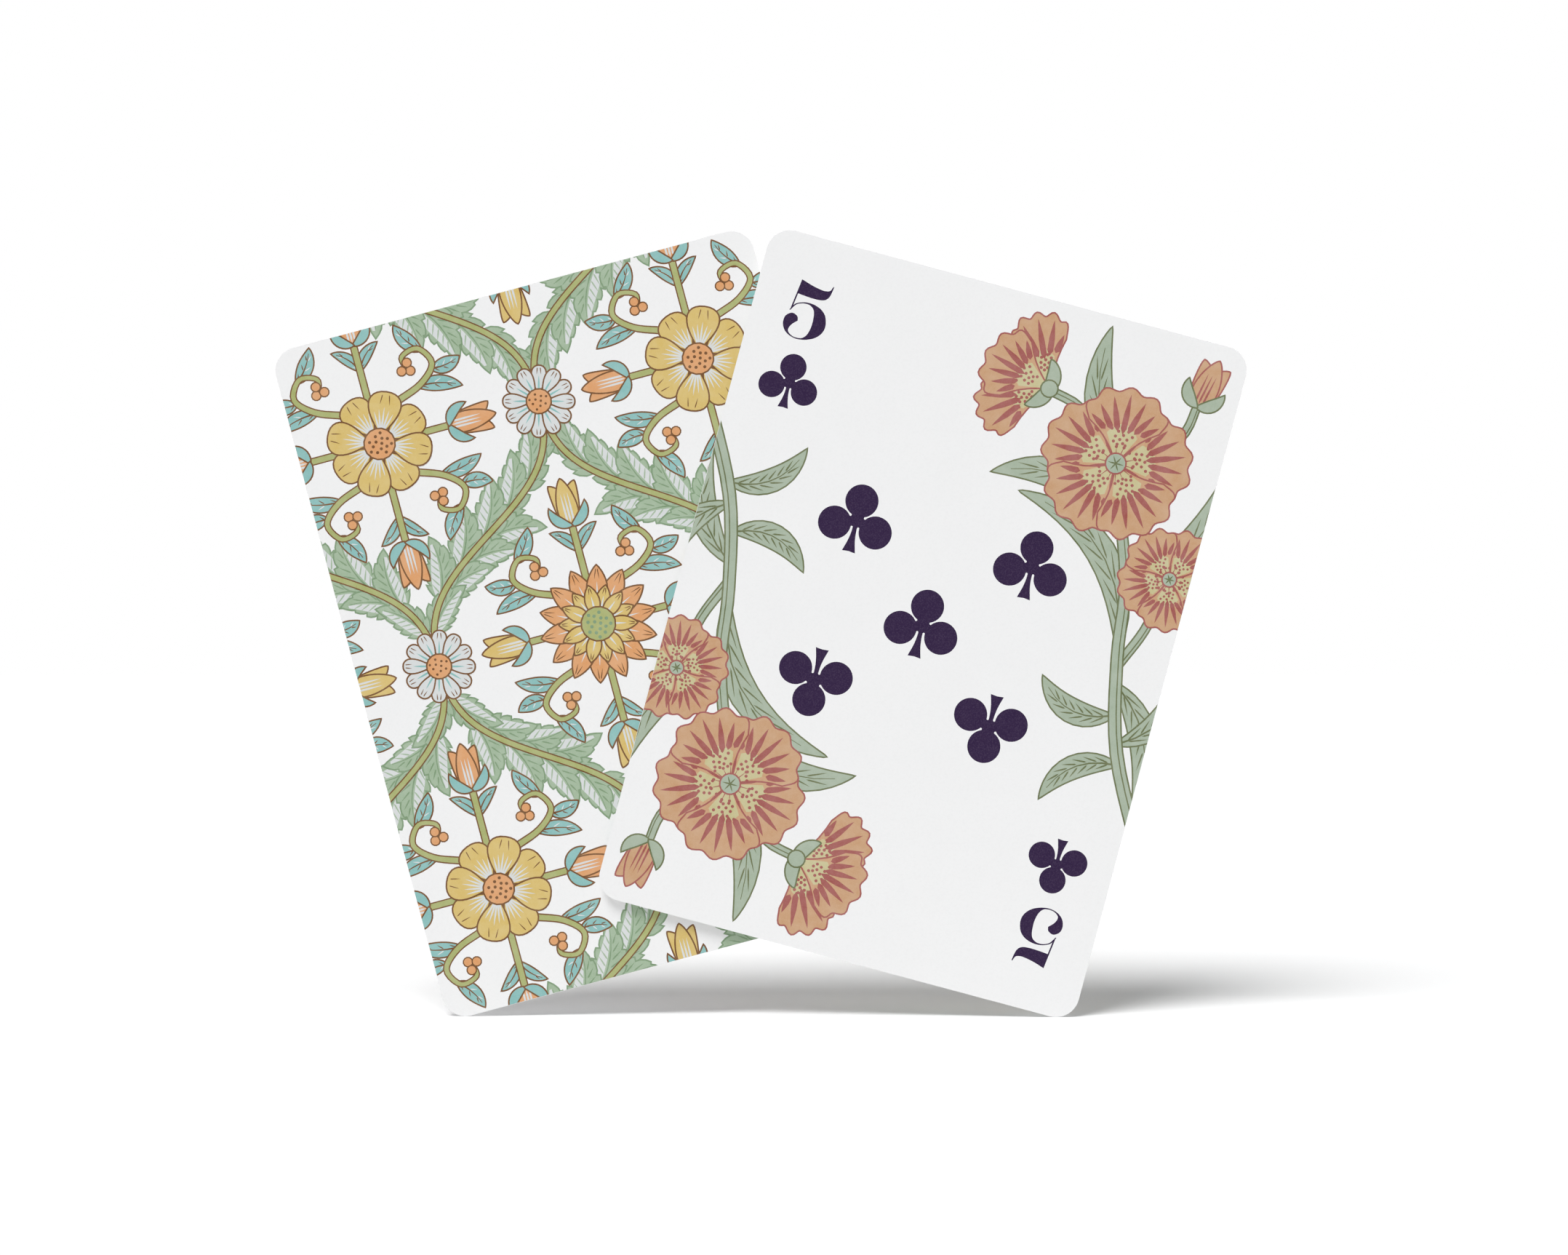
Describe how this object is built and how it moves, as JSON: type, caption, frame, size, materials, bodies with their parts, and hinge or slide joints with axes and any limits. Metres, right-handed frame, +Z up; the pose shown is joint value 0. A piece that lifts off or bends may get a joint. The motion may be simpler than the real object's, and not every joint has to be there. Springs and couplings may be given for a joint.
{
  "type": "fanned playing cards",
  "caption": "Loose playing cards fanned into a V on their outer corners: a floral back behind, club pips in front, each a printed paper laminate on an opaque core.",
  "frame": {"origin": "middle of the pair from side to side and from front to rear, on the surface that the outer lower corners stand on", "axes": "+X to the right as seen from the front, along the spread of the fan; +Y to the rear, square to the cards; +Z up"},
  "size_m": [0.1236, 0.0014, 0.1],
  "materials": {
    "card_paper": "coated white card paper, calendered and varnished, satin",
    "core_glue": "black opaque laminating glue, matt",
    "aubergine_ink": "offset ink under varnish, satin",
    "terracotta_ink": "offset ink under varnish, satin",
    "brick_ink": "offset ink under varnish, satin",
    "straw_ink": "offset ink under varnish, satin",
    "leaf_green_ink": "offset ink under varnish, satin",
    "dark_olive_ink": "offset ink under varnish, satin",
    "sage_ink": "offset ink under varnish, satin",
    "moss_ink": "offset ink under varnish, satin",
    "olive_ink": "offset ink under varnish, satin",
    "teal_ink": "offset ink under varnish, satin",
    "apricot_ink": "offset ink under varnish, satin",
    "mustard_ink": "offset ink under varnish, satin",
    "umber_ink": "offset ink under varnish, satin",
    "pale_grey_ink": "offset ink under varnish, satin"
  },
  "bodies": {
    "rear_card": {"rear_card_back_paper": "card_paper", "rear_card_core": "core_glue", "rear_card_face_paper": "card_paper"},
    "front_card": {"front_card_face_paper": "card_paper", "front_card_core": "core_glue", "front_card_back_paper": "card_paper"}
  },
  "joints": [
    {"name": "fan_close", "type": "hinge", "parent": "rear_card", "child": "front_card", "pos_m": [0, 0, -0.02709], "axis": [0, -1, 0], "range_deg": [0, 30]}
  ]
}
